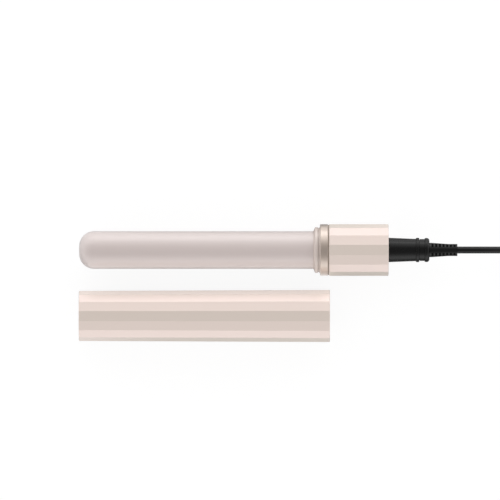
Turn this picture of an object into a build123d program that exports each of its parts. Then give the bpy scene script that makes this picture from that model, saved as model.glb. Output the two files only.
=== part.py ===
from build123d import *
import math
import os

# Clipless curling wand lying on a table, with its pull-on cap beside it and its cord put away.
# Millimetres. The origin is the middle of the handle facet that rests on the table.
# +X runs along the wand towards the cord, +Y away from the cap, +Z up.

# Handle and cap
SIDES = 16
HANDLE_FLATS = 35.6
HANDLE_L = 41.0
SHELL_BORE_R = 15.8
SHELL_LIP_T = 1.5
EDGE_R = 0.35
RIM_BEVEL = 0.3
REAR_COVER_T = 2.2
COVER_RECESS = 0.4
COVER_SPIGOT_T = 1.8
CAP_L = 173.1
CAP_FLATS_MOUTH = 35.9
CAP_FLATS_END = 34.5
CAP_WALL = 1.1
CAP_END_WALL = 1.8
LINER_WALL = 0.9
RIDGE_BITE = 0.25
RIDGE_RAMP_L = 0.6
CAP_MOUTH_X = -19.8
CAP_Y = -45.5

# Barrel, neck and collar
BARREL_R = 13.0
BARREL_L = 161.6
BARREL_WALL = 1.0
NOSE_R = 10.35
NECK_L = 4.6
NECK_LIP_T = 0.3
NECK_LIP_L = 0.25
CONE_L = 0.9
BEAD_R = 15.72
BEAD_ROUND = 0.45
GROOVE_R = 15.1
GROOVE_W = 0.7
STOP_R = 15.62
STOP_W = 0.65
SPIGOT_R = 14.4
COLLAR_L = 5.5
SPACER_T = 0.7
SPACER_SET_BACK = 0.5
SCREW_COUNT = 3
SCREW_R = 0.95
SCREW_HEAD_R = 1.6
SCREW_HOLE_R = 1.1
SCREW_SUNK = 0.15
SCREW_TIP_R = 9.4
FIT = 0.05
BUSH_SET_BACK = 1.3
BUSH_BORE_R = 5.0
BUSH_FLANGE_R = 12.0
BUSH_FLANGE_T = 1.5

# Inner frame, heater and electronics
CHASSIS_R = 15.7
CHASSIS_WALL = 1.6
BULKHEAD_T = 2.0
BULKHEAD_HOLE_R = 10.0
REAR_WALL_T = 2.5
REAR_HOLE_R = 8.3
BOSS_X = -2.0
BOSS_SIDES = (-11.0, 11.0)
BOSS_SCREW_SEAT = -7.0
SPREADER_L = 130.0
SPREADER_WALL = 2.0
HEATER_L = 98.0
HEATER_W = 15.0
HEATER_T = 2.0
FILM_T = 0.3
BEAD_SENSOR_R = 0.9
FUSE_R = 2.0
POCKET_SIDE = 4.5
HEATER_WIRE_R = 0.75
SENSOR_WIRE_R = 0.4
SUPPLY_WIRE_R = 0.7
THICK_WIRE_BEND = 1.2
THIN_WIRE_BEND = 1.0
BOARD_T = 1.6
BOARD_H = 5.0
BOARD_HALF_W = 8.8
SWITCH_ANGLE = -135.0
KNOB_L = 5.4
KNOB_W = 3.4
KNOB_PROUD = 1.0
KNOB_TRAVEL = 2.5
KNOB_STEM_HALF = 1.1
LED_H = 0.8
LENS_R = 0.9
RUNNING_GAP = 0.3

# Cord tail
SLEEVE_L = 18.9
SLEEVE_R_HANDLE = 8.42
SLEEVE_R_TAIL = 7.68
SLEEVE_BEAD_L = 2.4
SLEEVE_BEAD_R = 8.4
SLEEVE_BEAD_ROUND = 0.7
STEM_R = 5.5
STEM_CLEARANCE = 0.1
CLIP_T = 1.0
CLIP_R = 7.5
CLIP_BITE = 0.6
CLIP_MOUTH = 6.0
CLIP_SHOULDER = 0.8
SWIVEL_GAP = 0.4
LIP_R = 7.2
LIP_L = 1.4
SLEEVE_FLANGE_R = 10.5
SLEEVE_GROOVE_R = 8.2
TAIL_NECK_L = 3.25
TAIL_NECK_R = 7.55
TAIL_FLANGE_L = 3.3
TAIL_FLANGE_R = 8.3
TAIL_FLANGE_ROUND_FRONT = 0.7
TAIL_FLANGE_ROUND_REAR = 1.8
RELIEF_L = 19.3
RELIEF_R_FRONT = 4.95
RELIEF_R_REAR = 4.15
RELIEF_ROOT = 1.5
RELIEF_STRAIGHT = 6.4
WINDOWS_PER_ROW = 7
WINDOW_FIRST = 2.15
WINDOW_PITCH = 2.53
WINDOW_L = 1.45
WINDOW_INNER = 2.1
WINDOW_OUTER = 4.15
WINDOW_RAIL = 0.35
WINDOW_WEB = 1.6
RING_R = 4.7
RING_W = 1.6
DRUM_R = 3.8
BRUSH_SEAT = -8.3

# Cord, coil and plug
CORD_D = 4.8
COIL_X = 160.0
COIL_Y = -26.0
COIL_MEAN_R = 28.5
COIL_BAND = 15.8
COIL_H = 19.5
COIL_BOTTOM = 1.0
TIE_W = 10.0
TIE_T = 0.95
TIE_SLACK = 0.1
TIE_BEND_R = 1.5
PLUG_X = 224.0
PLUG_Y = -2.0
PLUG_W = 35.3
PLUG_T = 13.7
PLUG_BODY_L = 28.0
PLUG_TAIL_L = 12.0
PLUG_TAIL_R_GRIP = 4.4
PLUG_TAIL_R_CORD = 3.2
GRIP_GROOVES = 4
GRIP_FIRST = 10.0
GRIP_PITCH = 2.8
GRIP_GROOVE_L = 1.2
GRIP_GROOVE_W = 14.0
GRIP_DEPTH = 0.8
PIN_R = 2.0
PIN_L = 19.0
PIN_SLEEVE_L = 10.0
PIN_SLEEVE_R = 1.8
PIN_ROOT_R = 1.5
PIN_ROOT_L = 6.0
PIN_SPACING = 18.6

# Stations along the wand, worked out from the lengths above
AXIS_Z = HANDLE_FLATS / 2
CAP_SLOPE = (CAP_FLATS_MOUTH - CAP_FLATS_END) / 2 / CAP_L
CAP_DRAFT = math.degrees(math.atan(CAP_SLOPE))
HANDLE_FRONT = -HANDLE_L / 2
HANDLE_REAR = HANDLE_L / 2
COVER_REAR = HANDLE_REAR - COVER_RECESS
COVER_FRONT = COVER_REAR - REAR_COVER_T
COLLAR_REAR = HANDLE_FRONT - SPACER_T
COLLAR_FRONT = COLLAR_REAR - COLLAR_L
NECK_FRONT = COLLAR_FRONT - NECK_L
GROOVE_REAR = COLLAR_FRONT - STOP_W
GROOVE_FRONT = GROOVE_REAR - GROOVE_W
TIP = NECK_FRONT - BARREL_L
SCREW_X = (COLLAR_FRONT + COLLAR_REAR) / 2
CHASSIS_FRONT = HANDLE_FRONT + 1.6
CHASSIS_REAR = COVER_FRONT - 3.4
BARREL_END = CHASSIS_FRONT - 1.1
BARREL_BORE_R = BARREL_R - BARREL_WALL
CHASSIS_BORE_R = CHASSIS_R - CHASSIS_WALL
STACK = HEATER_T / 2 + FILM_T
SPREADER_R = BARREL_BORE_R - FIT
SPREADER_REAR = NECK_FRONT - 14.7
HEATER_REAR = SPREADER_REAR - 16.0
POCKET_FLOOR = STACK + SPREADER_WALL
BOARD_FRONT = CHASSIS_FRONT + 3.9
BOARD_REAR = BOARD_FRONT + 16.0
BOARD_TOP = BOARD_H + BOARD_T
SWITCH_X = BOARD_REAR - 4.0
KNOB_X = SWITCH_X - KNOB_TRAVEL / 2
LENS_X = BOARD_FRONT + 2.0
SLOT_L = KNOB_L + KNOB_TRAVEL + 2 * RUNNING_GAP
PLATE_HALF = KNOB_L / 2 + KNOB_TRAVEL + RUNNING_GAP + 0.5
PLATE_FRONT = KNOB_X - PLATE_HALF
PLATE_REAR = KNOB_X + PLATE_HALF
SLEEVE_END = HANDLE_REAR + SLEEVE_L + SLEEVE_BEAD_L
SLEEVE_FRONT = CHASSIS_REAR - 4.5
SLEEVE_BORE_R = STEM_R + STEM_CLEARANCE
TAIL_FRONT = SLEEVE_END + SWIVEL_GAP
LIP_FRONT = TAIL_FRONT - LIP_L
FLANGE_FRONT = TAIL_FRONT + TAIL_NECK_L
RELIEF_FRONT = FLANGE_FRONT + TAIL_FLANGE_L
RELIEF_END = RELIEF_FRONT + RELIEF_L
CLIP_X = SLEEVE_FRONT - 1.4
DRUM_FRONT = CLIP_X - 7.1
RING_STARTS = (DRUM_FRONT + 0.8, DRUM_FRONT + 3.8)
COIL_IN_R = COIL_MEAN_R - COIL_BAND / 2
COIL_OUT_R = COIL_MEAN_R + COIL_BAND / 2
COIL_LOW_TURN = COIL_BOTTOM + CORD_D / 2
COIL_TOP_TURN = COIL_BOTTOM + COIL_H - CORD_D / 2

# The wand's own axis lies at the handle's half height; the electronics turn to face the slider's facet
WAND = Pos(0, 0, AXIS_Z)
INNER = WAND * Rot(SWITCH_ANGLE, 0, 0)

# The cord's route by hand: out of the tail, down to the table and into the coil
LEAD_ROUTE = [
    (RELIEF_END, 0, AXIS_Z),
    (RELIEF_END + 16, 0, AXIS_Z),
    (110, 0, 5.9),
    (132, 3, 3.5),
    (146, 7, COIL_LOW_TURN),
    (COIL_X, 8, COIL_LOW_TURN),
]
# From the coil's top turn down to the plug
PLUG_ROUTE = [
    (COIL_X, 8, COIL_TOP_TURN),
    (176, 8, 17.2),
    (196, 4, 9.8),
    (PLUG_X - 12, PLUG_Y, PLUG_T / 2),
    (PLUG_X, PLUG_Y, PLUG_T / 2),
]


def turned(*corners):
    """Solid turned about the X axis from (x, radius) corners."""
    return revolve(make_face(Polyline(*corners, close=True)), Axis.X)


def ring(x0, x1, inner, outer):
    """Plain ring about the X axis."""
    return turned((x0, inner), (x1, inner), (x1, outer), (x0, outer))


def bar(x0, x1, radius):
    """Round bar about the X axis."""
    return turned((x0, 0), (x1, 0), (x1, radius), (x0, radius))


def block(x0, x1, y0, y1, z0, z1):
    """Box between two limits along each axis."""
    centre = Pos((x0 + x1) / 2, (y0 + y1) / 2, (z0 + z1) / 2)
    return centre * Box(x1 - x0, y1 - y0, z1 - z0)


def post(x, y, z0, z1, radius):
    """Round post along Z."""
    return Pos(x, y, (z0 + z1) / 2) * Cylinder(radius, z1 - z0)


def facets(x, flats):
    """Sixteen-sided outline across the X axis with a flat side down."""
    outline = RegularPolygon(flats / 2, SIDES, major_radius=False, rotation=180 / SIDES)
    return Plane.YZ.offset(x) * outline


def faceted_bar(x0, x1, flats):
    """Sixteen-sided bar along X."""
    return extrude(facets(x0, flats), x1 - x0)


def end_edges(solid, x):
    """Outer edges of the flat end face at x."""
    end = min(solid.faces().filter_by(Plane.YZ), key=lambda face: abs(face.center().X - x))
    return end.outer_wire().edges()


def softened(solid, ends, bevel):
    """Faceted bar with its rims bevelled at the ends named by x, and its long edges rounded."""
    solid = chamfer([edge for x in ends for edge in end_edges(solid, x)], bevel)
    long_edges = [edge for edge in solid.edges() if abs((edge % 0.5).X) > 0.99]
    return fillet(long_edges, EDGE_R)


def wire(points, radius, bend):
    """Insulated wire along straight runs with rounded bends."""
    path = FilletPolyline(*points, radius=bend)
    return sweep(Plane(path @ 0, z_dir=path % 0) * Circle(radius), path)


def bowed_strip(half_span, low, high, thickness):
    """Outline of a spring strip bowed upwards, feet at low and crown at high."""
    top = ThreePointArc((-half_span, low + thickness), (0, high), (half_span, low + thickness))
    under = ThreePointArc((-half_span, low), (0, high - thickness), (half_span, low))
    return make_face([top, Line(top @ 1, under @ 1), under, Line(under @ 0, top @ 0)])


def barrel():
    """Aluminium tube with a rounded, closed nose and three screw holes at its root."""
    inner_tip = TIP + BARREL_WALL
    outside = bar(TIP, BARREL_END, BARREL_R)
    outside = fillet(end_edges(outside, TIP), NOSE_R)
    inside = bar(inner_tip, BARREL_END, BARREL_BORE_R)
    inside = fillet(end_edges(inside, inner_tip), NOSE_R - BARREL_WALL)
    hole = post(SCREW_X, 0, BARREL_BORE_R - 1, BARREL_R + 1, SCREW_HOLE_R - FIT)
    return outside - inside - round_the_root(hole)


def round_the_root(item):
    """Three copies of an item about the wand's axis."""
    return [Rot(360 * turn / SCREW_COUNT, 0, 0) * item for turn in range(SCREW_COUNT)]


def neck_flange():
    """Moulded ring: steep cone up from the barrel, bead, snap groove, stop ring, and a spigot."""
    bore = BARREL_R + FIT
    cone_foot = NECK_FRONT + NECK_LIP_L
    rear = CHASSIS_FRONT - 0.2
    body = turned(
        (NECK_FRONT, bore),
        (rear, bore),
        (rear, SPIGOT_R),
        (COLLAR_FRONT, SPIGOT_R),
        (COLLAR_FRONT, STOP_R),
        (GROOVE_REAR, STOP_R),
        (GROOVE_REAR, GROOVE_R),
        (GROOVE_FRONT, GROOVE_R),
        (GROOVE_FRONT, BEAD_R),
        (cone_foot + CONE_L, BEAD_R),
        (cone_foot, bore + NECK_LIP_T),
        (NECK_FRONT, bore + NECK_LIP_T),
    )
    crest = [edge for edge in body.edges().filter_by(GeomType.CIRCLE) if edge.radius > BEAD_R - 0.01]
    body = fillet(crest, BEAD_ROUND)
    sunk_head = Pos(SCREW_X, 0, SPIGOT_R - SCREW_SUNK) * Cone(SCREW_HOLE_R, 2.4, 1.4)
    return body - round_the_root(post(SCREW_X, 0, bore - 1, SPIGOT_R + 1, SCREW_HOLE_R) + sunk_head)


def barrel_screws():
    """Countersunk screws through neck and barrel into the bush, hidden by the collar."""
    head_top = SPIGOT_R - SCREW_SUNK
    head_h = SCREW_HEAD_R - SCREW_R
    head = Pos(SCREW_X, 0, head_top - head_h / 2) * Cone(SCREW_R, SCREW_HEAD_R, head_h)
    return round_the_root(head + post(SCREW_X, 0, SCREW_TIP_R, head_top - head_h / 2, SCREW_R))


def barrel_bush():
    """Heat-proof bush: plug in the barrel, neck through the bulkhead, flange behind it, wire hole."""
    bulkhead_rear = CHASSIS_FRONT + BULKHEAD_T
    front = NECK_FRONT + BUSH_SET_BACK
    flange_rear = bulkhead_rear + BUSH_FLANGE_T
    body = turned(
        (front, BUSH_BORE_R),
        (flange_rear, BUSH_BORE_R),
        (flange_rear, BUSH_FLANGE_R),
        (bulkhead_rear + FIT, BUSH_FLANGE_R),
        (bulkhead_rear + FIT, BULKHEAD_HOLE_R - 2 * FIT),
        (CHASSIS_FRONT - FIT, BULKHEAD_HOLE_R - 2 * FIT),
        (CHASSIS_FRONT - FIT, BARREL_R),
        (BARREL_END, BARREL_R),
        (BARREL_END, BARREL_BORE_R - FIT),
        (front, BARREL_BORE_R - FIT),
    )
    return body - round_the_root(post(SCREW_X, 0, SCREW_TIP_R - 2 * FIT, BARREL_R, SCREW_R + FIT))


def collar_ring():
    """Turned metal ring, flush with the handle's flats."""
    body = ring(COLLAR_FRONT, COLLAR_REAR, SPIGOT_R + FIT, HANDLE_FLATS / 2)
    rims = end_edges(body, COLLAR_FRONT) + end_edges(body, COLLAR_REAR)
    return chamfer(rims, RIM_BEVEL)


def spacer_ring():
    """Dark ring set back between collar and handle."""
    return ring(COLLAR_REAR, HANDLE_FRONT, SPIGOT_R + FIT, HANDLE_FLATS / 2 - SPACER_SET_BACK)


def handle_shell():
    """Sixteen-sided tube with a front lip, a slot for the slider and a hole for the light pipe."""
    ends = (HANDLE_FRONT, HANDLE_REAR)
    body = softened(faceted_bar(*ends, HANDLE_FLATS), ends, RIM_BEVEL)
    lip_rear = HANDLE_FRONT + SHELL_LIP_T
    bore = turned(
        (HANDLE_FRONT - 1, 0),
        (HANDLE_REAR + 1, 0),
        (HANDLE_REAR + 1, SHELL_BORE_R),
        (lip_rear, SHELL_BORE_R),
        (lip_rear, SPIGOT_R + FIT),
        (HANDLE_FRONT - 1, SPIGOT_R + FIT),
    )
    half_slot = KNOB_W / 2 + RUNNING_GAP
    slot = block(
        SWITCH_X - SLOT_L / 2, SWITCH_X + SLOT_L / 2, -half_slot, half_slot, SHELL_BORE_R - 2, AXIS_Z + 1
    )
    lens_hole = post(LENS_X, 0, SHELL_BORE_R - 2, AXIS_Z + 1, LENS_R + FIT)
    return body - bore - Rot(SWITCH_ANGLE, 0, 0) * (slot + lens_hole)


def rear_cover():
    """Round end plate set into the shell, with a spigot against the chassis and a hole for the sleeve."""
    plate = ring(COVER_FRONT, COVER_REAR, SLEEVE_R_HANDLE + FIT, SHELL_BORE_R - FIT)
    plate = chamfer(end_edges(plate, COVER_REAR), RIM_BEVEL)
    return plate + ring(CHASSIS_REAR + COVER_RECESS, COVER_FRONT, CHASSIS_R - COVER_SPIGOT_T, CHASSIS_R)


def chassis_half(upper):
    """Half of the inner frame, built with its open side at z = 0: wall, bulkheads, screw bosses."""
    side = 1 if upper else -1
    rear_wall = CHASSIS_REAR - REAR_WALL_T
    tube = turned(
        (CHASSIS_FRONT, BULKHEAD_HOLE_R),
        (CHASSIS_FRONT, CHASSIS_R),
        (CHASSIS_REAR, CHASSIS_R),
        (CHASSIS_REAR, REAR_HOLE_R),
        (rear_wall, REAR_HOLE_R),
        (rear_wall, CHASSIS_BORE_R),
        (CHASSIS_FRONT + BULKHEAD_T, CHASSIS_BORE_R),
        (CHASSIS_FRONT + BULKHEAD_T, BULKHEAD_HOLE_R),
    )
    within = bar(CHASSIS_FRONT, CHASSIS_REAR, CHASSIS_R - 0.4)
    boss_r = 1.9 if upper else 2.6
    for y in BOSS_SIDES:
        tube += post(BOSS_X, y, min(0, side * 10), max(0, side * 10), boss_r) & within
    half = tube & block(CHASSIS_FRONT, CHASSIS_REAR, -20, 20, min(0, side * 20), max(0, side * 20))
    if upper:
        return half + board_posts(within) - upper_openings()
    for y in BOSS_SIDES:
        half -= post(BOSS_X, y, -20, BOSS_SCREW_SEAT, 2.0) + post(BOSS_X, y, BOSS_SCREW_SEAT, 1, 1.1)
    return half


def board_posts(within):
    """Four posts that press on the control board."""
    posts = [
        post(x, y, BOARD_TOP, CHASSIS_R, 1.0)
        for x in (BOARD_FRONT + 3.5, BOARD_REAR - 1.5)
        for y in (-6.0, 6.0)
    ]
    return [item & within for item in posts]


def upper_openings():
    """Window for the slider's plate, hole for the light pipe and pilot holes for the screws."""
    travel = block(PLATE_FRONT - 0.4, PLATE_REAR + KNOB_TRAVEL + 0.4, -2.8, 2.8, 8, CHASSIS_R + 1)
    lens_hole = post(LENS_X, 0, 8, CHASSIS_R + 1, LENS_R + FIT)
    pilots = [post(BOSS_X, y, -1, 7, 1.0) for y in BOSS_SIDES]
    return [travel, lens_hole] + pilots


def chassis_screws():
    """Two screws that pull the chassis halves together."""
    head = post(BOSS_X, 0, BOSS_SCREW_SEAT - 1.6, BOSS_SCREW_SEAT, 1.8)
    shank = post(BOSS_X, 0, BOSS_SCREW_SEAT, 6, 0.95)
    return [Pos(0, y, 0) * (head + shank) for y in BOSS_SIDES]


def heat_spreader(turn):
    """Half-round hollow extrusion that carries heat from the heater to the barrel's wall."""
    below_stack = Pos(0, STACK - 20) * Rectangle(60, 40)
    below_pocket = Pos(0, POCKET_FLOOR - 20) * Rectangle(60, 40)
    rib = Rectangle(SPREADER_WALL, 60)
    pockets = Circle(SPREADER_R - SPREADER_WALL) - below_pocket - rib
    profile = Circle(SPREADER_R) - below_stack - pockets
    solid = extrude(Plane.YZ.offset(SPREADER_REAR - SPREADER_L) * profile, SPREADER_L)
    return Rot(turn, 0, 0) * solid


def heater_plate():
    """Flat ceramic heater."""
    return Pos(HEATER_REAR - HEATER_L / 2, 0, 0) * Box(HEATER_L, HEATER_W, HEATER_T)


def heater_films():
    """Insulating films on both faces of the heater."""
    front = HEATER_REAR - HEATER_L - 3
    half_w = HEATER_W / 2 + 1
    upper = block(front, HEATER_REAR + 3, -half_w, half_w, HEATER_T / 2, STACK)
    return [upper, Rot(180, 0, 0) * upper]


def spreader_springs():
    """Bowed spring strips in the gap beside the heater, which press the spreaders apart."""
    outline = bowed_strip(34, FIT - STACK, STACK - FIT, 0.4)
    strip = extrude(Plane.XZ * outline, 2.2)
    middle = HEATER_REAR - HEATER_L / 2
    return [Pos(middle, side + 1.1, 0) * strip for side in (-10.2, 10.2)]


def thermistor():
    """Glass bead on the floor of the upper spreader's pocket."""
    bead = fillet(Cylinder(BEAD_SENSOR_R, 4).edges(), 0.6)
    return Pos(HEATER_REAR - 8, POCKET_SIDE, POCKET_FLOOR + BEAD_SENSOR_R) * Rot(0, 90, 0) * bead


def thermal_fuse():
    """Metal can of the one-shot thermal fuse in the other pocket."""
    can = chamfer(Cylinder(FUSE_R, 10).edges(), 0.4)
    return Pos(HEATER_REAR - 8, -POCKET_SIDE, POCKET_FLOOR + FUSE_R) * Rot(0, 90, 0) * can


def heater_leads():
    """Two wires from the heater through the bush to the control board."""
    return [
        wire(
            [
                (HEATER_REAR, y, 0),
                (CHASSIS_FRONT + 1, y, 0),
                (BOARD_FRONT + 3.0, y, 2.2),
                (BOARD_FRONT + 3.0, y, BOARD_H),
            ],
            HEATER_WIRE_R,
            THICK_WIRE_BEND,
        )
        for y in (-3.0, 3.0)
    ]


def sensor_leads():
    """Thin wires from the thermistor and the thermal fuse to the control board."""
    starts = (
        (1, HEATER_REAR - 6, POCKET_FLOOR + BEAD_SENSOR_R),
        (-1, HEATER_REAR - 3, POCKET_FLOOR + FUSE_R),
    )
    return [
        wire(
            [
                (x, side * POCKET_SIDE, z),
                (SPREADER_REAR + 2, side * POCKET_SIDE, z),
                (NECK_FRONT, side * 1.3, 2.4),
                (BOARD_FRONT + 2, side * 1.3, 2.8),
                (BOARD_FRONT + 2, side * 1.3, BOARD_H),
            ],
            SENSOR_WIRE_R,
            THIN_WIRE_BEND,
        )
        for side, x, z in starts
    ]


def control_board():
    """Printed circuit board, parallel to the slider's facet."""
    return block(BOARD_FRONT, BOARD_REAR, -BOARD_HALF_W, BOARD_HALF_W, BOARD_H, BOARD_TOP)


def board_components():
    """Film capacitor, switching device and resistors on the board's inner face."""
    capacitor = block(SWITCH_X - 3.5, SWITCH_X + 3.0, -4.6, 0.4, BOARD_H - 5.5, BOARD_H)
    switching = block(SWITCH_X - 3.0, SWITCH_X + 1.4, 1.6, 5.2, BOARD_H - 3.2, BOARD_H)
    resistors = [
        block(SWITCH_X + 2.0 + 1.4 * step, SWITCH_X + 2.8 + 1.4 * step, 2.2, 4.2, BOARD_H - 0.6, BOARD_H)
        for step in range(2)
    ]
    return [capacitor, switching] + resistors


def indicator_led():
    """Chip lamp under the light pipe."""
    return block(LENS_X - 0.8, LENS_X + 0.8, -0.6, 0.6, BOARD_TOP, BOARD_TOP + LED_H)


def led_lens():
    """Light pipe from the chip lamp to the handle's facet."""
    return post(LENS_X, 0, BOARD_TOP + LED_H, AXIS_Z + 0.1, LENS_R)


def slide_switch():
    """Board-mounted slide switch with a slot for the slider's stem."""
    body = block(SWITCH_X - 4, SWITCH_X + 4, -2.6, 2.6, BOARD_TOP, BOARD_TOP + 4.4)
    reach = KNOB_STEM_HALF + KNOB_TRAVEL / 2 + RUNNING_GAP
    slot = block(SWITCH_X - reach, SWITCH_X + reach, -1.0, 1.0, BOARD_TOP + 2.8, BOARD_TOP + 5)
    return body - slot


def switch_knob():
    """Thumb slider: ridged pad, plate that covers the slot from inside, stem into the switch."""
    plate_z = SHELL_BORE_R - 1.2
    pad_top = AXIS_Z + KNOB_PROUD
    pad = block(KNOB_X - KNOB_L / 2, KNOB_X + KNOB_L / 2, -KNOB_W / 2, KNOB_W / 2, plate_z + 0.7, pad_top)
    pad = chamfer(pad.faces().sort_by(Axis.Z)[-1].edges(), 0.3)
    plate = block(PLATE_FRONT, PLATE_REAR, -2.4, 2.4, plate_z, plate_z + 0.7)
    stem = block(KNOB_X - KNOB_STEM_HALF, KNOB_X + KNOB_STEM_HALF, -0.7, 0.7, BOARD_TOP + 3.2, plate_z)
    grooves = [
        block(KNOB_X + 1.2 * step - 0.3, KNOB_X + 1.2 * step + 0.3, -3, 3, pad_top - 0.35, pad_top + 1)
        for step in (-1, 0, 1)
    ]
    return pad + plate + stem - grooves


def brush_holder():
    """Insulating block under the slip rings, seated in the chassis."""
    seat = bar(DRUM_FRONT, CLIP_X, CHASSIS_BORE_R)
    return block(DRUM_FRONT + 0.3, CLIP_X - 1.0, -5.5, 5.5, -20, BRUSH_SEAT) & seat


def contact_brushes():
    """Bowed spring contacts standing on the holder, one under each slip ring."""
    outline = bowed_strip(4.4, BRUSH_SEAT, -RING_R - RUNNING_GAP, 0.3)
    strip = extrude(Plane.YZ * outline, 1.2)
    return [Pos(start + 0.2, 0, 0) * strip for start in RING_STARTS]


def supply_leads():
    """Wires from the brush holder to the control board."""
    return [
        wire(
            [
                (DRUM_FRONT + 0.3, side * 3.6, BRUSH_SEAT - 1.5),
                (BOARD_REAR - 2.5, side * 3.6, BRUSH_SEAT - 1.5),
                (BOARD_REAR - 3.0, side * 7.2, -2.0),
                (BOARD_REAR - 3.0, side * 7.2, BOARD_H),
            ],
            SUPPLY_WIRE_R,
            THICK_WIRE_BEND,
        )
        for side in (-1, 1)
    ]


def cord_sleeve():
    """Fixed black sleeve: clamped flange, groove in the bulkhead, tapered body and end bead."""
    groove_front = CHASSIS_REAR - REAR_WALL_T - FIT
    groove_rear = CHASSIS_REAR + FIT
    bead_front = HANDLE_REAR + SLEEVE_L
    body = turned(
        (SLEEVE_FRONT, SLEEVE_BORE_R),
        (SLEEVE_FRONT, SLEEVE_FLANGE_R),
        (groove_front, SLEEVE_FLANGE_R),
        (groove_front, SLEEVE_GROOVE_R),
        (groove_rear, SLEEVE_GROOVE_R),
        (groove_rear, SLEEVE_R_HANDLE),
        (HANDLE_REAR, SLEEVE_R_HANDLE),
        (bead_front, SLEEVE_R_TAIL),
        (bead_front, SLEEVE_BEAD_R),
        (SLEEVE_END, SLEEVE_BEAD_R),
        (SLEEVE_END, LIP_R + RUNNING_GAP),
        (LIP_FRONT - RUNNING_GAP, LIP_R + RUNNING_GAP),
        (LIP_FRONT - RUNNING_GAP, SLEEVE_BORE_R),
    )
    bead = [
        edge
        for edge in body.edges().filter_by(GeomType.CIRCLE)
        if edge.radius > SLEEVE_BEAD_R - 0.005 and edge.center().X > bead_front - 1
    ]
    return fillet(bead, SLEEVE_BEAD_ROUND)


def strain_relief():
    """Turning tail in one moulding: ring drum, stem, lip, neck, flange and the windowed strain relief."""
    clip_groove_r = STEM_R - CLIP_BITE
    drum_rear = CLIP_X - CLIP_SHOULDER
    body = turned(
        (DRUM_FRONT, 0),
        (RELIEF_END, 0),
        (RELIEF_END, RELIEF_R_REAR),
        (RELIEF_END - RELIEF_STRAIGHT, RELIEF_R_REAR),
        (RELIEF_FRONT + RELIEF_ROOT, RELIEF_R_FRONT),
        (RELIEF_FRONT, RELIEF_R_FRONT),
        (RELIEF_FRONT, TAIL_FLANGE_R),
        (FLANGE_FRONT, TAIL_FLANGE_R),
        (FLANGE_FRONT, TAIL_NECK_R),
        (TAIL_FRONT, TAIL_NECK_R),
        (TAIL_FRONT, LIP_R),
        (LIP_FRONT, LIP_R),
        (LIP_FRONT, STEM_R),
        (CLIP_X + CLIP_T + FIT, STEM_R),
        (CLIP_X + CLIP_T + FIT, clip_groove_r),
        (CLIP_X - FIT, clip_groove_r),
        (CLIP_X - FIT, STEM_R),
        (drum_rear, STEM_R),
        (drum_rear, DRUM_R),
        (DRUM_FRONT, DRUM_R),
    )
    rims = [edge for edge in body.edges().filter_by(GeomType.CIRCLE) if edge.radius > TAIL_FLANGE_R - 0.01]
    rims.sort(key=lambda edge: edge.center().X)
    body = fillet(rims[:1], TAIL_FLANGE_ROUND_FRONT)
    body = fillet(end_edges(body, RELIEF_FRONT), TAIL_FLANGE_ROUND_REAR)
    return body - relief_windows()


def relief_r(x):
    """Outer radius of the strain relief at x."""
    taper_front = RELIEF_FRONT + RELIEF_ROOT
    taper_rear = RELIEF_END - RELIEF_STRAIGHT
    along = min(max((x - taper_front) / (taper_rear - taper_front), 0), 1)
    return RELIEF_R_FRONT + (RELIEF_R_REAR - RELIEF_R_FRONT) * along


def relief_windows():
    """Square windows drawn straight up and down, between the spines, the side rails and the mid web."""
    cutters = []
    depth = RELIEF_R_FRONT - WINDOW_WEB / 2
    for step in range(WINDOWS_PER_ROW):
        x = RELIEF_FRONT + WINDOW_FIRST + WINDOW_PITCH * step
        outer = min(relief_r(x) - WINDOW_RAIL, WINDOW_OUTER)
        window = Box(WINDOW_L, outer - WINDOW_INNER, depth)
        for side in (-1, 1):
            y = side * (WINDOW_INNER + outer) / 2
            for up in (-1, 1):
                cutters.append(Pos(x, y, up * (WINDOW_WEB + depth) / 2) * window)
    return cutters


def slip_ring(start):
    """Brass ring on the swivel's drum."""
    return ring(start, start + RING_W, DRUM_R, RING_R)


def swivel_clip():
    """Open spring clip in the stem's groove, which keeps the tail in its sleeve."""
    clip = ring(CLIP_X, CLIP_X + CLIP_T, STEM_R - CLIP_BITE + FIT, CLIP_R)
    half_mouth = CLIP_MOUTH / 2
    return clip - block(CLIP_X - 1, CLIP_X + CLIP_T + 1, -half_mouth, half_mouth, 0, CLIP_R + 1)


def cap_bore_r(x):
    """Radius of the cap shell's drafted bore at x, measured from the mouth."""
    return CAP_FLATS_MOUTH / 2 - CAP_WALL + CAP_SLOPE * x


def cap_shell():
    """Drafted sixteen-sided cap with a closed end, its mouth at x = 0."""
    body = faceted_bar(-CAP_L, 0, CAP_FLATS_MOUTH)
    sides = [face for face in body.faces() if abs(face.normal_at().X) < 0.5]
    body = softened(draft(sides, Plane.YZ, -CAP_DRAFT), (-CAP_L, 0), RIM_BEVEL)
    depth = CAP_END_WALL - CAP_L
    bore = turned((depth, 0), (1, 0), (1, cap_bore_r(1)), (depth, cap_bore_r(depth)))
    return body - bore


def cap_liner():
    """Heat-proof liner, closed at the end, with a snap ridge that grips the neck's bead."""
    mouth = -STOP_W - FIT
    depth = CAP_END_WALL - CAP_L + FIT
    ridge_rear = mouth - GROOVE_W + 3 * FIT
    relief_rear = ridge_rear - RIDGE_RAMP_L
    ridge_r = BEAD_R - RIDGE_BITE
    return turned(
        (depth, 0),
        (depth, cap_bore_r(depth) - FIT),
        (mouth, cap_bore_r(mouth) - FIT),
        (mouth, ridge_r),
        (ridge_rear, ridge_r),
        (relief_rear, cap_bore_r(relief_rear) - LINER_WALL),
        (depth + 1, cap_bore_r(depth + 1) - LINER_WALL),
        (depth + 1, 0),
    )


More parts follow.
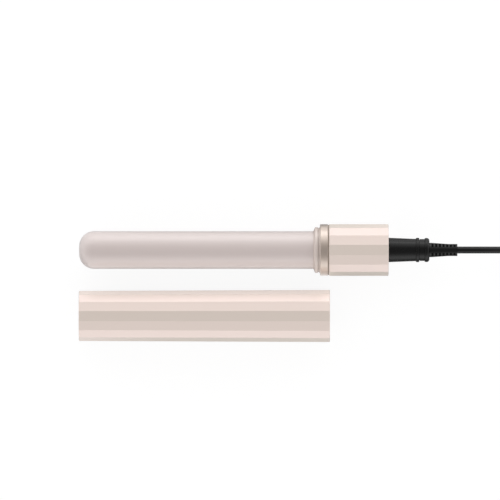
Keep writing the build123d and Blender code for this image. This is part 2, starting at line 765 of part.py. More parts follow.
def cap_place():
    """Where the cap lies: on one facet, tipped by its draft so that the facet is flat on the table."""
    return (
        Pos(CAP_MOUTH_X, CAP_Y, 0)
        * Rot(0, -CAP_DRAFT, 0)
        * Pos(0, 0, CAP_FLATS_MOUTH / 2)
    )


def bend_radii(points):
    """Largest arcs that the runs of a cord's route leave room for."""
    radii = []
    for before, here, after in zip(points, points[1:], points[2:]):
        run_in = Vector(here) - Vector(before)
        run_out = Vector(after) - Vector(here)
        half_turn = math.radians(run_in.get_angle(run_out)) / 2
        radii.append(0.45 * min(run_in.length, run_out.length) / math.tan(half_turn))
    return radii


def cord_tube(points):
    """Tube along a cord's route, with its bend radii and volume printed."""
    radii = bend_radii(points)
    path = FilletPolyline(*points, radius=radii)
    tube = sweep(Plane(path @ 0, z_dir=path % 0) * Circle(CORD_D / 2), path)
    section = math.pi * CORD_D**2 / 4
    print("cord radii", [round(radius, 1) for radius in radii], "length", round(path.length, 1))
    print("cord volume", round(tube.volume, 1), "against", round(section * path.length, 1))
    return tube


def cord_coil():
    """Outer shape of the cord's neat coil."""
    standing = (Align.CENTER, Align.CENTER, Align.MIN)
    body = Cylinder(COIL_OUT_R, COIL_H, align=standing) - Cylinder(COIL_IN_R, COIL_H, align=standing)
    return Pos(COIL_X, COIL_Y, COIL_BOTTOM) * chamfer(body.edges().filter_by(GeomType.CIRCLE), CORD_D / 3)


def cord_tie():
    """Strap round the coil's turns, its lower side on the table."""
    inner_y = math.sqrt(COIL_IN_R**2 - (TIE_W / 2) ** 2) - TIE_SLACK
    outer_y = COIL_OUT_R + TIE_SLACK
    top = COIL_BOTTOM + COIL_H + TIE_SLACK
    outline = Rectangle(outer_y - inner_y + 2 * TIE_T, top + TIE_T, align=(Align.CENTER, Align.MIN))
    hollow = Pos(0, TIE_T) * Rectangle(outer_y - inner_y, top - TIE_T, align=(Align.CENTER, Align.MIN))
    outline = fillet(outline.vertices(), TIE_BEND_R + TIE_T)
    hollow = fillet(hollow.vertices(), TIE_BEND_R)
    strap = extrude(Plane.YZ * (outline - hollow), TIE_W / 2, both=True)
    return Pos(COIL_X, COIL_Y - (inner_y + outer_y) / 2, 0) * strap


def plug_section(x, width, height, corner):
    """Rounded outline across the plug."""
    return Plane.YZ.offset(x) * RectangleRounded(width, height, corner)


def plug_body():
    """Flat two-pin plug: wide face, waisted and grooved grip, ribbed tail, sleeves round the pins."""
    face = PLUG_TAIL_L + PLUG_BODY_L
    grip = loft(
        [
            plug_section(PLUG_TAIL_L, 11, 10, 4),
            plug_section(PLUG_TAIL_L + 0.36 * PLUG_BODY_L, 20, PLUG_T - 0.6, 4.6),
            plug_section(PLUG_TAIL_L + 0.68 * PLUG_BODY_L, 32, PLUG_T, 5.4),
            plug_section(face, PLUG_W, PLUG_T, 5.4),
        ]
    )
    tail = turned((0, 0), (PLUG_TAIL_L, 0), (PLUG_TAIL_L, PLUG_TAIL_R_GRIP), (0, PLUG_TAIL_R_CORD))
    tail_grooves = [ring(x, x + 1.0, CORD_D / 2 + 0.5, PLUG_TAIL_R_GRIP + 1) for x in (2.4, 5.0, 7.6, 10.2)]
    body = grip + (tail - tail_grooves) - plug_grooves()
    for y in (-PIN_SPACING / 2, PIN_SPACING / 2):
        body += Pos(0, y, 0) * bar(face, face + PIN_SLEEVE_L, PIN_SLEEVE_R)
        body -= Pos(0, y, 0) * bar(face - PIN_ROOT_L, face + PIN_SLEEVE_L + 1, PIN_ROOT_R)
    return body


def plug_grooves():
    """Shallow finger grooves across both broad sides of the plug's grip."""
    cutters = []
    for step in range(GRIP_GROOVES):
        x = PLUG_TAIL_L + GRIP_FIRST + GRIP_PITCH * step
        for side in (-1, 1):
            z = side * (PLUG_T / 2 + 1 - GRIP_DEPTH)
            cutters.append(Pos(x, 0, z) * Box(GRIP_GROOVE_L, GRIP_GROOVE_W, 2))
    return cutters


def plug_pins():
    """Two round pins: thin roots in the sleeves, full-size ends with round tips."""
    face = PLUG_TAIL_L + PLUG_BODY_L
    tip = face + PIN_L
    pin = turned(
        (face - PIN_ROOT_L, 0),
        (tip, 0),
        (tip, PIN_R),
        (face + PIN_SLEEVE_L, PIN_R),
        (face + PIN_SLEEVE_L, PIN_ROOT_R),
        (face - PIN_ROOT_L, PIN_ROOT_R),
    )
    pin = fillet(end_edges(pin, tip), PIN_R - 0.4)
    return [Pos(0, y, 0) * pin for y in (-PIN_SPACING / 2, PIN_SPACING / 2)]


PLUG = Pos(PLUG_X, PLUG_Y, PLUG_T / 2)
CAP = cap_place()
TABLE = Location()

# Each node: where its group sits, and its solid or solids
NODES = {
    "barrel": (WAND, barrel()),
    "neck_flange": (WAND, neck_flange()),
    "collar_ring": (WAND, collar_ring()),
    "spacer_ring": (WAND, spacer_ring()),
    "handle_shell": (WAND, handle_shell()),
    "rear_cover": (WAND, rear_cover()),
    "barrel_bush": (WAND, barrel_bush()),
    "barrel_screws": (WAND, barrel_screws()),
    "chassis_upper": (INNER, chassis_half(upper=True)),
    "chassis_lower": (INNER, chassis_half(upper=False)),
    "chassis_screws": (INNER, chassis_screws()),
    "heat_spreader_upper": (INNER, heat_spreader(0)),
    "heat_spreader_lower": (INNER, heat_spreader(180)),
    "heater_plate": (INNER, heater_plate()),
    "heater_films": (INNER, heater_films()),
    "spreader_springs": (INNER, spreader_springs()),
    "thermistor": (INNER, thermistor()),
    "thermal_fuse": (INNER, thermal_fuse()),
    "heater_leads": (INNER, heater_leads()),
    "sensor_leads": (INNER, sensor_leads()),
    "control_board": (INNER, control_board()),
    "board_components": (INNER, board_components()),
    "indicator_led": (INNER, indicator_led()),
    "led_lens": (INNER, led_lens()),
    "slide_switch": (INNER, slide_switch()),
    "switch_knob": (INNER, switch_knob()),
    "brush_holder": (INNER, brush_holder()),
    "contact_brushes": (INNER, contact_brushes()),
    "supply_leads": (INNER, supply_leads()),
    "cord_sleeve": (WAND, cord_sleeve()),
    "strain_relief": (WAND, strain_relief()),
    "slip_ring_front": (WAND, slip_ring(RING_STARTS[0])),
    "slip_ring_rear": (WAND, slip_ring(RING_STARTS[1])),
    "swivel_clip": (WAND, swivel_clip()),
    "cap_shell": (CAP, cap_shell()),
    "cap_liner": (CAP, cap_liner()),
    "cord_lead": (TABLE, cord_tube(LEAD_ROUTE)),
    "cord_coil": (TABLE, cord_coil()),
    "plug_lead": (TABLE, cord_tube(PLUG_ROUTE)),
    "cord_tie": (TABLE, cord_tie()),
    "plug_body": (PLUG, plug_body()),
    "plug_pins": (PLUG, plug_pins()),
}

os.makedirs("parts", exist_ok=True)
for node, (place, shape) in NODES.items():
    pieces = shape if isinstance(shape, list) else [shape]
    solids = [solid for piece in pieces for solid in (place * piece).solids()]
    export_step(Compound(solids), f"parts/{node}.step")
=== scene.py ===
import math

import bmesh
import bpy
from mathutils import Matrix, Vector


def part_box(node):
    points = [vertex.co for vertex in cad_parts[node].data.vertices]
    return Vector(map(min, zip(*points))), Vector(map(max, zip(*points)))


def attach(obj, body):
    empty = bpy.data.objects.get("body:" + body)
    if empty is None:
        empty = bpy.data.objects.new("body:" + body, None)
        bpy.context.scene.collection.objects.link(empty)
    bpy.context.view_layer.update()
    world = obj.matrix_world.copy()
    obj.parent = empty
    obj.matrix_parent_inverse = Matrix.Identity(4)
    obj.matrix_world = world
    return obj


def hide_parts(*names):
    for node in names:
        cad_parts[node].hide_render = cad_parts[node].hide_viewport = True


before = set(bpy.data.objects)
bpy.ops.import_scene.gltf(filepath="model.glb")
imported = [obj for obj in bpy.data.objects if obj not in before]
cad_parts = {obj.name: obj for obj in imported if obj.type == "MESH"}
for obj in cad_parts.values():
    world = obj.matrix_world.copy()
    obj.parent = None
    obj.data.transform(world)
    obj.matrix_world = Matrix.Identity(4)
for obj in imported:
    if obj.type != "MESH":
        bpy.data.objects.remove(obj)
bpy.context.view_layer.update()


# Camera: it hangs straight above the table with a long lens, so that the wand and its cap lie side by
# side with almost no perspective, as in a catalogue picture. Its scale is set at the wand's axis.
def add_object(name, data):
    """New object at the origin, linked into the scene."""
    item = bpy.data.objects.new(name, data)
    bpy.context.scene.collection.objects.link(item)
    return item


handle_low, handle_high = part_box("handle_shell")
axis_height = (handle_low.z + handle_high.z) / 2
view_width = 0.345
view_middle = -0.075
view_centre = Vector((view_middle, 0, axis_height))
camera_data = bpy.data.cameras.new("camera")
camera_data.lens = 800
camera_data.sensor_width = 36
camera = add_object("camera", camera_data)
camera.location = view_centre + Vector((0, 0, view_width * camera_data.lens / camera_data.sensor_width))
bpy.context.scene.camera = camera


# Barrel: a drawn aluminium tube with a rounded nose, in a satin ceramic coat of pale greyish pink that
# is sprayed on and fired, so it has a very fine speckle and no sharp reflections.
def start_material(name):
    """New node material: the material, its tree, its shader and the piece's own coordinates."""
    material = bpy.data.materials.new(name)
    material.use_nodes = True
    tree = material.node_tree
    place = tree.nodes.new("ShaderNodeTexCoord").outputs["Object"]
    return material, tree, tree.nodes["Principled BSDF"], place


def grain(tree, place, size, detail=2.0, stretch=(1, 1, 1)):
    """Soft noise whose grains are about that many metres across, longer where stretch is above 1."""
    mapping = tree.nodes.new("ShaderNodeMapping")
    mapping.inputs["Scale"].default_value = [1 / (size * share) for share in stretch]
    noise = tree.nodes.new("ShaderNodeTexNoise")
    noise.inputs["Scale"].default_value = 1.0
    noise.inputs["Detail"].default_value = detail
    tree.links.new(place, mapping.inputs["Vector"])
    tree.links.new(mapping.outputs["Vector"], noise.inputs["Vector"])
    return noise.outputs["Fac"]


def remap(tree, value, start, end, low, high, easing="LINEAR"):
    """A value that goes from low to high as another goes from start to end."""
    spread = tree.nodes.new("ShaderNodeMapRange")
    spread.interpolation_type = easing
    spread.inputs["From Min"].default_value = start
    spread.inputs["From Max"].default_value = end
    spread.inputs["To Min"].default_value = low
    spread.inputs["To Max"].default_value = high
    tree.links.new(value, spread.inputs["Value"])
    return spread.outputs["Result"]


def roughen(tree, value, roughness, change, shader):
    """Lets the roughness rise and fall with a noise value."""
    noise_low = 0.3
    noise_high = 0.7
    uneven = remap(tree, value, noise_low, noise_high, roughness - change, roughness + change)
    tree.links.new(uneven, shader.inputs["Roughness"])


def tint(tree, value, dark, pale, shader):
    """Colours the surface with a mix of two close colours."""
    mix = tree.nodes.new("ShaderNodeMix")
    mix.data_type = "RGBA"
    mix.inputs["A"].default_value = (*dark, 1)
    mix.inputs["B"].default_value = (*pale, 1)
    tree.links.new(value, mix.inputs["Factor"])
    tree.links.new(mix.outputs["Result"], shader.inputs["Base Color"])


def relief(tree, value, depth, shader):
    """Raises and sinks the surface by about depth metres."""
    bump = tree.nodes.new("ShaderNodeBump")
    bump.inputs["Distance"].default_value = depth
    tree.links.new(value, bump.inputs["Height"])
    tree.links.new(bump.outputs["Normal"], shader.inputs["Normal"])


def polish(shader, finish):
    """Sets the sockets of the shader that are the same all over the surface."""
    for socket, value in finish.items():
        shader.inputs[socket].default_value = value


def satin_coat(name, dark, pale, roughness, speckle, finish):
    """Sprayed satin coat: close tones in a fine speckle, and the faint orange peel of the spray."""
    material, tree, shader, place = start_material(name)
    cloud_size = 8 * speckle
    cloud_change = 0.02
    peel_size = 3 * speckle
    peel_depth = 2e-6
    tint(tree, grain(tree, place, speckle), dark, pale, shader)
    roughen(tree, grain(tree, place, cloud_size), roughness, cloud_change, shader)
    relief(tree, grain(tree, place, peel_size), peel_depth, shader)
    polish(shader, finish)
    return material


def dress(material, *names):
    """Gives CAD nodes their finish."""
    for name in names:
        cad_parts[name].material_slots[0].material = material


ceramic_finish = {
    "Specular IOR Level": 0.8,
    "Coat Weight": 1.0,
    "Coat Roughness": 0.42,
    "Sheen Weight": 0.65,
    "Sheen Roughness": 0.5,
}
ceramic_coat = satin_coat(
    "ceramic_coat",
    dark=(0.52, 0.44, 0.42),
    pale=(0.56, 0.48, 0.46),
    roughness=0.42,
    speckle=0.00025,
    finish=ceramic_finish,
)
dress(ceramic_coat, "barrel")

# Neck: a heat-proof moulding with a bead that holds the cap, in the barrel's tone but a little warmer.
# Three screws behind it, under the collar, hold the barrel's root to its bush.
neck_satin = satin_coat(
    "neck_satin",
    dark=(0.56, 0.48, 0.44),
    pale=(0.60, 0.52, 0.48),
    roughness=0.36,
    speckle=0.0003,
    finish={"Metallic": 0.05, "Specular IOR Level": 0.7},
)
dress(neck_satin, "neck_flange")


# Collar: a turned aluminium ring, anodised champagne and brushed round its outside, pressed on over the
# neck's spigot. Behind it sits a ring set back a little, whose dark brown colour is painted shade: it
# paints the shadow gap to the handle, darker than the small recess alone makes it.
def brushed_metal(name, colour, roughness, across, along, finish=None):
    """Metal with brush lines: across is their width in metres, along their stretch in X, Y and Z."""
    material, tree, shader, place = start_material(name)
    line_detail = 3.0
    line_gleam = 1.08
    line_change = 0.06
    line_depth = 4e-6
    lines = grain(tree, place, across, line_detail, along)
    tint(tree, lines, colour, [min(share * line_gleam, 1) for share in colour], shader)
    roughen(tree, lines, roughness, line_change, shader)
    relief(tree, lines, line_depth, shader)
    polish(shader, {"Metallic": 1.0, **(finish or {})})
    return material


def moulding(name, colour, roughness, grain_size, depth, gloss=0.3, ior=1.5, clear=0.0):
    """Moulded plastic or rubber with a fine eroded-tool grain, clear where light passes through it."""
    material, tree, shader, place = start_material(name)
    cloud_size = 12 * grain_size
    cloud_gain = 1.2
    cloud_limit = 0.03
    patch_size = 4 * grain_size
    patch_change = 0.02
    pale = [min(share * cloud_gain, share + cloud_limit) for share in colour]
    tint(tree, grain(tree, place, cloud_size), colour, pale, shader)
    roughen(tree, grain(tree, place, patch_size), roughness, patch_change, shader)
    relief(tree, grain(tree, place, grain_size), depth, shader)
    polish(shader, {"Specular IOR Level": gloss, "IOR": ior, "Transmission Weight": clear})
    return material


collar_finish = {
    "Metallic": 0.9,
    "Coat Weight": 1.0,
    "Coat IOR": 2.1,
    "Coat Roughness": 0.3,
    "Sheen Weight": 0.3,
}
collar_metal = brushed_metal(
    "collar_metal",
    colour=(0.385, 0.305, 0.25),
    roughness=0.5,
    across=0.00015,
    along=(1, 40, 40),
    finish=collar_finish,
)
dress(collar_metal, "collar_ring")
# The spacer ring's dark colour is painted shade for the gap between collar and handle.
gap_moulding = moulding("gap_moulding", (0.27, 0.22, 0.18), roughness=0.6, grain_size=0.0003, depth=5e-6)
dress(gap_moulding, "spacer_ring")

# Handle and cap: sixteen-sided mouldings in a pearl lacquer that gleams pink and turns greyer towards
# the edges. The handle's round end plate is pressed into the shell, and the cap is drafted.
pearl_finish = {
    "Metallic": 0.14,
    "Specular IOR Level": 0.9,
    "Specular Tint": (1.0, 0.55, 0.80, 1),
    "Sheen Weight": 0.5,
    "Sheen Roughness": 0.5,
    "Sheen Tint": (0.85, 1.0, 0.9, 1),
}
pearl = satin_coat(
    "pearl",
    dark=(0.66, 0.58, 0.51),
    pale=(0.70, 0.62, 0.55),
    roughness=0.3,
    speckle=0.0002,
    finish=pearl_finish,
)
dress(pearl, "handle_shell", "rear_cover", "cap_shell")

# Cap liner: a thin cup in heat-proof ivory plastic, slid into the cap, with a ridge that snaps over the
# neck's bead. It is seen only through the cap's mouth.
liner_ivory = moulding(
    "liner_ivory", (0.62, 0.58, 0.53), roughness=0.55, grain_size=0.0006, depth=6e-6, gloss=0.4
)
dress(liner_ivory, "cap_liner")

# Black tail: the fixed sleeve, the turning strain relief with its windows, and the slider. They are
# moulded in one soft black compound with a matt eroded grain.
black = (0.002, 0.002, 0.0021)
soft_black = moulding("soft_black", black, roughness=0.28, grain_size=0.0003, depth=2e-6, gloss=0.55, ior=1.3)
dress(soft_black, "cord_sleeve", "strain_relief", "switch_knob")

# Strap: a woven nylon tie with hook and loop faces. It passes under the coil, round its turns and over
# its own start on the outer side, where the free end holds by its hooks.
strap_low, strap_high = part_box("cord_tie")
strap_thickness = 0.00095
strap_play = 0.000095
strap_bend = 0.0028
strap_rim_width = 0.00018
strap_start_height = 0.004
strap_overlap_height = 0.012
strap_overlap_end = 0.009
fold_angle = math.radians(30)
lap_side = strap_low.y - strap_thickness
lap_top = strap_high.z + strap_thickness
strap_folds = [
    (strap_low.y, strap_start_height),
    (strap_low.y, strap_high.z),
    (strap_high.y, strap_high.z),
    (strap_high.y, 0),
    (strap_low.y, 0),
    (lap_side, strap_overlap_height),
    (lap_side, lap_top),
    (strap_low.y + strap_overlap_end, lap_top),
]
strap_shape = bmesh.new()
strap_line = [strap_shape.verts.new((strap_low.x, *fold)) for fold in strap_folds]
for pair in zip(strap_line, strap_line[1:]):
    strap_shape.edges.new(pair)
ribbon = bmesh.ops.extrude_edge_only(strap_shape, edges=strap_shape.edges[:])["geom"]
bmesh.ops.translate(
    strap_shape,
    vec=(strap_high.x - strap_low.x, 0, 0),
    verts=[item for item in ribbon if isinstance(item, bmesh.types.BMVert)],
)
bmesh.ops.recalc_face_normals(strap_shape, faces=strap_shape.faces[:])
sharp_folds = [
    edge for edge in strap_shape.edges if len(edge.link_faces) == 2 and edge.calc_face_angle() > fold_angle
]
bmesh.ops.bevel(
    strap_shape,
    geom=sharp_folds,
    offset=strap_bend,
    offset_type="OFFSET",
    affect="EDGES",
    segments=6,
    profile=0.5,
    material=-1,
)
for face in strap_shape.faces:
    face.smooth = True
strap_mesh = bpy.data.meshes.new("strap")
strap_shape.to_mesh(strap_mesh)
strap_shape.free()
strap = add_object("strap", strap_mesh)
strap_wall = strap.modifiers.new("wall", "SOLIDIFY")
strap_wall.thickness = strap_thickness - strap_play
strap_wall.offset = -1
strap_rim = strap.modifiers.new("rim", "BEVEL")
strap_rim.width = strap_rim_width
strap_rim.segments = 2
strap_rim.limit_method = "ANGLE"
strap_weave, tree, shader, place = start_material("strap_weave")
thread_depth = 0.00008
threads = tree.nodes.new("ShaderNodeTexWave")
threads.wave_type = "BANDS"
threads.bands_direction = "DIAGONAL"
threads.inputs["Scale"].default_value = 500
threads.inputs["Distortion"].default_value = 1.5
tree.links.new(place, threads.inputs["Vector"])
tint(tree, threads.outputs["Fac"], (0.009, 0.009, 0.010), (0.016, 0.016, 0.017), shader)
relief(tree, threads.outputs["Fac"], thread_depth, shader)
polish(shader, {"Roughness": 0.8, "Sheen Weight": 0.2})
strap_mesh.materials.append(strap_weave)
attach(strap, "wand")
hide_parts("cord_tie")

# Cord: a round two-core lead in black PVC. It leaves the swivel tail, comes down to the table, and the
# length beyond the picture is wound in a neat coil of four layers, from whose top it runs to the plug.
cord_diameter = 0.0048
coil_low, coil_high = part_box("cord_coil")
coil_centre = Vector(((coil_low.x + coil_high.x) / 2, (coil_low.y + coil_high.y) / 2, 0))
coil_band = 0.011
coil_outer = (coil_high.x - coil_low.x - cord_diameter) / 2
coil_inner = coil_outer - coil_band
coil_turns = 9
coil_layers = 4
layer_height = (coil_high.z - coil_low.z - cord_diameter) / (coil_layers - 1)
turn_points = 16
tail_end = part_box("strain_relief")[1].x
plug_low, plug_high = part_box("plug_body")
plug_height = (plug_low.z + plug_high.z) / 2
lead_route = [
    (tail_end, 0, axis_height),
    (tail_end + 0.016, 0, axis_height),
    (0.110, 0, 0.0055),
    (0.132, 0.003, 0.0025),
    (0.146, 0.007, cord_diameter / 2),
]
plug_route = [
    (0.176, 0.008, 0.0163),
    (0.196, 0.004, 0.0098),
    (plug_low.x - 0.012, -0.002, plug_height),
    (plug_low.x, -0.002, plug_height),
]


def smooth_step(share):
    """Eased step from 0 to 1."""
    share = min(max(share, 0), 1)
    return share * share * (3 - 2 * share)


def coil_point(turns):
    """Control point of the coil after that many turns, clockwise from the far side."""
    layer_turns = coil_turns / coil_layers
    layer, along = divmod(turns / layer_turns, 1)
    inward = along if layer % 2 == 0 else 1 - along
    radius = coil_outer + (coil_inner - coil_outer) * inward
    control_radius = radius / math.cos(math.pi / turn_points)
    climb_turns = 0.5
    climbed = sum(
        smooth_step((turns - edge * layer_turns) / climb_turns + 0.5) for edge in range(1, coil_layers)
    )
    angle = math.pi / 2 - 2 * math.pi * turns
    strap_sharpness = 4
    over_strap = max(-math.sin(angle), 0) ** strap_sharpness
    height = cord_diameter / 2 + strap_thickness * over_strap + layer_height * climbed
    return coil_centre + Vector((control_radius * math.cos(angle), control_radius * math.sin(angle), height))


coil_route = [coil_point(step / turn_points) for step in range(coil_turns * turn_points + 1)]
cord_points = [*lead_route, *coil_route, *plug_route]
cord_curve = bpy.data.curves.new("cord", "CURVE")
cord_curve.dimensions = "3D"
cord_curve.bevel_depth = cord_diameter / 2
cord_curve.bevel_resolution = 6
cord_curve.use_fill_caps = True
cord_curve.resolution_u = 6
cord_spline = cord_curve.splines.new("NURBS")
cord_spline.points.add(len(cord_points) - 1)
for control, point in zip(cord_spline.points, cord_points):
    control.co = (*point, 1)
cord_spline.order_u = 3
cord_spline.use_endpoint_u = True
cord = add_object("cord", cord_curve)
cord_pvc = moulding("cord_pvc", black, roughness=0.3, grain_size=0.0004, depth=2e-6, gloss=0.55, ior=1.3)
cord_curve.materials.append(cord_pvc)
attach(cord, "wand")
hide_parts("cord_lead", "cord_coil", "plug_lead")

# Plug: a flat two-pin body moulded onto the cord in the tail's black compound, with finger grooves. Its
# pins are turned brass with a bright nickel plate, and have thin insulated roots.
dress(soft_black, "plug_body")
pin_nickel = brushed_metal("pin_nickel", (0.66, 0.64, 0.60), roughness=0.2, across=0.0002, along=(30, 1, 1))
dress(pin_nickel, "plug_pins")

# Inside the handle: a dark heat-proof bush in the barrel's root and two pale frame halves, screwed
# together round the bush, the control board and the cord's sleeve.
bush_moulding = moulding("bush_moulding", (0.03, 0.025, 0.022), roughness=0.6, grain_size=0.0005, depth=1e-5)
dress(bush_moulding, "barrel_bush")
frame_moulding = moulding(
    "frame_moulding", (0.58, 0.56, 0.53), roughness=0.6, grain_size=0.0008, depth=1e-5, gloss=0.4
)
dress(frame_moulding, "chassis_upper", "chassis_lower")
screw_steel = brushed_metal(
    "screw_steel", (0.42, 0.42, 0.43), roughness=0.35, across=0.0002, along=(1, 1, 12)
)
dress(screw_steel, "barrel_screws", "chassis_screws", "swivel_clip", "spreader_springs", "thermal_fuse")

# Heater: a flat alumina plate between amber films, clamped by two extruded aluminium spreaders whose
# round backs touch the barrel. Spring strips beside the plate press the spreaders apart.
spreader_metal = brushed_metal(
    "spreader_metal", (0.62, 0.63, 0.64), roughness=0.38, across=0.0003, along=(60, 1, 1)
)
dress(spreader_metal, "heat_spreader_upper", "heat_spreader_lower")
heater_ceramic = moulding("heater_ceramic", (0.78, 0.75, 0.69), roughness=0.7, grain_size=0.0004, depth=8e-6)
dress(heater_ceramic, "heater_plate")
amber_film = moulding(
    "amber_film", (0.48, 0.15, 0.012), roughness=0.25, grain_size=0.002, depth=4e-6, gloss=0.6, clear=0.5
)
dress(amber_film, "heater_films")
bead_glass = moulding(
    "bead_glass", (0.60, 0.45, 0.32), roughness=0.12, grain_size=0.001, depth=2e-6, gloss=0.5, clear=0.7
)
dress(bead_glass, "thermistor")

# Electrics: a board with green solder mask, its parts and slide switch in black epoxy and nylon, wires
# in pale silicone, and the swivel's brass rings with their sprung contacts.
solder_mask = moulding(
    "solder_mask", (0.005, 0.04, 0.012), roughness=0.3, grain_size=0.0004, depth=1e-5, gloss=0.5
)
dress(solder_mask, "control_board")
black_epoxy = moulding("black_epoxy", (0.008, 0.008, 0.009), roughness=0.5, grain_size=0.0003, depth=1e-5)
dress(black_epoxy, "board_components", "slide_switch", "brush_holder")
wire_silicone = moulding("wire_silicone", (0.66, 0.64, 0.60), roughness=0.65, grain_size=0.0005, depth=6e-6)
dress(wire_silicone, "heater_leads", "sensor_leads", "supply_leads")
contact_brass = brushed_metal(
    "contact_brass", (0.58, 0.38, 0.13), roughness=0.3, across=0.0001, along=(1, 30, 30)
)
dress(contact_brass, "slip_ring_front", "slip_ring_rear", "contact_brushes")

# Pilot lamp: a chip lamp in clear resin on the board, and a frosted light pipe above it that is pressed
# into the handle and ends flush in one of its facets.
lamp_resin = moulding(
    "lamp_resin", (0.70, 0.58, 0.25), roughness=0.3, grain_size=0.0005, depth=2e-6, gloss=0.5
)
dress(lamp_resin, "indicator_led")
frosted_pipe = moulding(
    "frosted_pipe", (0.78, 0.72, 0.68), roughness=0.35, grain_size=0.0004, depth=4e-6, gloss=0.5, clear=0.6
)
dress(frosted_pipe, "led_lens")

# Table: a large sheet of white board under the pieces. The camera sees it white with faint shadows. Gloss
# mirrors it with a painted shade: its glow is dim in an oval round the pieces and bright further off,
# besides the real shadows that its faint diffuse part takes.
table_reach = 8
table_mesh = bpy.data.meshes.new("table")
table_shape = bmesh.new()
bmesh.ops.create_grid(table_shape, x_segments=1, y_segments=1, size=table_reach)
table_shape.to_mesh(table_mesh)
table_shape.free()
table = add_object("table", table_mesh)


def feed(tree, value, socket):
    """Gives a socket a plain number or what another socket puts out."""
    if isinstance(value, bpy.types.NodeSocket):
        tree.links.new(value, socket)
    else:
        socket.default_value = value


def work_out(tree, operation, *values):
    """Result of a sum on sockets and plain numbers."""
    node = tree.nodes.new("ShaderNodeMath")
    node.operation = operation
    for value, socket in zip(values, node.inputs):
        feed(tree, value, socket)
    return node.outputs["Value"]


def lit_white(tree, shade, light):
    """White surface that takes shadows and gives off some light of its own."""
    glow = tree.nodes.new("ShaderNodeEmission")
    feed(tree, light, glow.inputs["Strength"])
    lit = tree.nodes.new("ShaderNodeBsdfDiffuse")
    lit.inputs["Color"].default_value = (shade, shade, shade, 1)
    both = tree.nodes.new("ShaderNodeAddShader")
    tree.links.new(glow.outputs["Emission"], both.inputs[0])
    tree.links.new(lit.outputs["BSDF"], both.inputs[1])
    return both.outputs["Shader"]


def choose(tree, ray, otherwise, chosen):
    """One surface for the rays that the socket names, another for all others."""
    mix = tree.nodes.new("ShaderNodeMixShader")
    tree.links.new(ray, mix.inputs["Fac"])
    tree.links.new(otherwise, mix.inputs[1])
    tree.links.new(chosen, mix.inputs[2])
    return mix.outputs["Shader"]


table_white = bpy.data.materials.new("table_white")
table_white.use_nodes = True
tree = table_white.node_tree
tree.nodes.clear()
# Painted shade for gloss: the table's glow is dim inside an oval between wand and cap and rises smoothly to
# bright outside it.
painted_shade_centre = Vector((view_middle, -0.0225, 0))
painted_shade_reach = Vector((0.2, 0.085, 1))
painted_shade_start = 0.75
painted_shade_end = 1.05
painted_shade_light = 0.15
open_light = 1.3
around = tree.nodes.new("ShaderNodeMapping")
around.inputs["Location"].default_value = [-a / b for a, b in zip(painted_shade_centre, painted_shade_reach)]
around.inputs["Scale"].default_value = [1 / b for b in painted_shade_reach]
away = tree.nodes.new("ShaderNodeVectorMath")
away.operation = "LENGTH"
tree.links.new(tree.nodes.new("ShaderNodeTexCoord").outputs["Object"], around.inputs["Vector"])
tree.links.new(around.outputs["Vector"], away.inputs[0])
painted_shade_glow = remap(
    tree, away.outputs["Value"], painted_shade_start, painted_shade_end, painted_shade_light, open_light, "SMOOTHSTEP"
)
bounced_table = lit_white(tree, shade=0.6, light=0)
mirrored_table_painted_shade = lit_white(tree, shade=0.15, light=painted_shade_glow)
seen_table = lit_white(tree, shade=0.12, light=0.9)
table_rays = tree.nodes.new("ShaderNodeLightPath").outputs
mirrored = work_out(tree, "MAXIMUM", table_rays["Is Glossy Ray"], table_rays["Is Transmission Ray"])
unseen_table = choose(tree, mirrored, bounced_table, mirrored_table_painted_shade)
table_surface = choose(tree, table_rays["Is Camera Ray"], unseen_table, seen_table)
table_output = tree.nodes.new("ShaderNodeOutputMaterial")
tree.links.new(table_surface, table_output.inputs["Surface"])
table_mesh.materials.append(table_white)

# Studio: pale walls under a darker ceiling, dimmer at the wand's two ends than at its sides, so that
# round pieces keep a dark middle and bright flanks. The camera sees plain white.
wall_light = 2.1
wall_top = 0.25
ceiling_light = 0.435
ceiling_start = 0.95
end_dimming = 0.5
world = bpy.data.worlds.new("studio")
world.use_nodes = True
bpy.context.scene.world = world
tree = world.node_tree
background = tree.nodes["Background"]
background.inputs["Color"].default_value = (1, 1, 1, 1)
heading = tree.nodes.new("ShaderNodeSeparateXYZ")
tree.links.new(tree.nodes.new("ShaderNodeTexCoord").outputs["Generated"], heading.inputs["Vector"])
walls = remap(
    tree, heading.outputs["Z"], wall_top, ceiling_start, wall_light, ceiling_light, "SMOOTHSTEP"
)
endward = work_out(tree, "MULTIPLY", heading.outputs["X"], heading.outputs["X"])
dim_ends = work_out(tree, "MULTIPLY_ADD", endward, -end_dimming, 1)
brightness = tree.nodes.new("ShaderNodeMix")
brightness.inputs["B"].default_value = 1.0
studio_rays = tree.nodes.new("ShaderNodeLightPath").outputs
tree.links.new(studio_rays["Is Camera Ray"], brightness.inputs["Factor"])
tree.links.new(work_out(tree, "MULTIPLY", walls, dim_ends), brightness.inputs["A"])
tree.links.new(brightness.outputs["Result"], background.inputs["Strength"])
bpy.context.scene.view_settings.view_transform = "Standard"


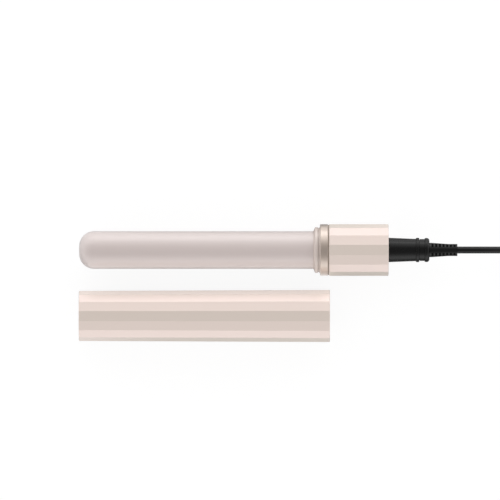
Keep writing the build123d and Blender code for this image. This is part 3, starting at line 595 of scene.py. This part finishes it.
# Lamps: long softboxes low on both sides, the stronger ones on the far side. Between wand and cap, a lit
# strip and a lit card brighten the barrel, and a card before the collar brightens the end of the cap.
def lit_panel(name, width, height, centre, facing, radiance):
    """Flat lamp of that size and brightness, which faces one way and isn't seen itself."""
    data = bpy.data.lights.new(name, "AREA")
    data.shape = "RECTANGLE"
    data.size = width
    data.size_y = height
    data.energy = radiance * math.pi * width * height
    lamp = add_object(name, data)
    lamp.location = centre
    lamp.rotation_euler = (-facing).to_track_quat("Z", "Y").to_euler()
    lamp.visible_camera = False


def softbox(name, side, low, high, radiance):
    """Long softbox beside the wand and facing it, between two elevations in degrees."""
    length = 3.0
    distance = 1.3
    middle = math.radians((low + high) / 2)
    reach = Vector((0, side * distance * math.cos(middle), distance * math.sin(middle)))
    height = 2 * distance * math.tan(math.radians(high - low) / 2)
    lit_panel(name, length, height, view_centre + reach, -reach, radiance)


softbox("softbox_far", side=1, low=0, high=20, radiance=1.28)
softbox("softbox_far_high", side=1, low=30, high=60, radiance=0.36)
softbox("softbox_near", side=-1, low=0, high=30, radiance=0.15)
cap_low, cap_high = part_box("cap_shell")
cap_length = cap_high.x - cap_low.x
cap_middle = (cap_low.x + cap_high.x) / 2
fill_gap = 0.001
strip_width = 0.008
strip_side = cap_high.y + 2 * fill_gap + strip_width / 2
lit_panel(
    "fill_strip",
    width=cap_length,
    height=strip_width,
    centre=Vector((cap_middle, strip_side, axis_height)),
    facing=Vector((0, 0, 1)),
    radiance=0.95,
)
card_height = 0.018
card_lift = 0.4 * card_height
lit_panel(
    "fill_card",
    width=cap_length,
    height=card_height,
    centre=Vector((cap_middle, cap_high.y + fill_gap, axis_height + card_lift)),
    facing=Vector((0, 1, 0)),
    radiance=0.42,
)
collar_low, collar_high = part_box("collar_ring")
end_overhang = 0.03
end_height = 0.0075
end_length = cap_high.x + end_overhang - collar_low.x
end_middle = collar_low.x + end_length / 2
lit_panel(
    "fill_end",
    width=end_length,
    height=end_height,
    centre=Vector((end_middle, collar_low.y - fill_gap, collar_high.z - end_height / 2)),
    facing=Vector((0, -1, 0)),
    radiance=1.4,
)
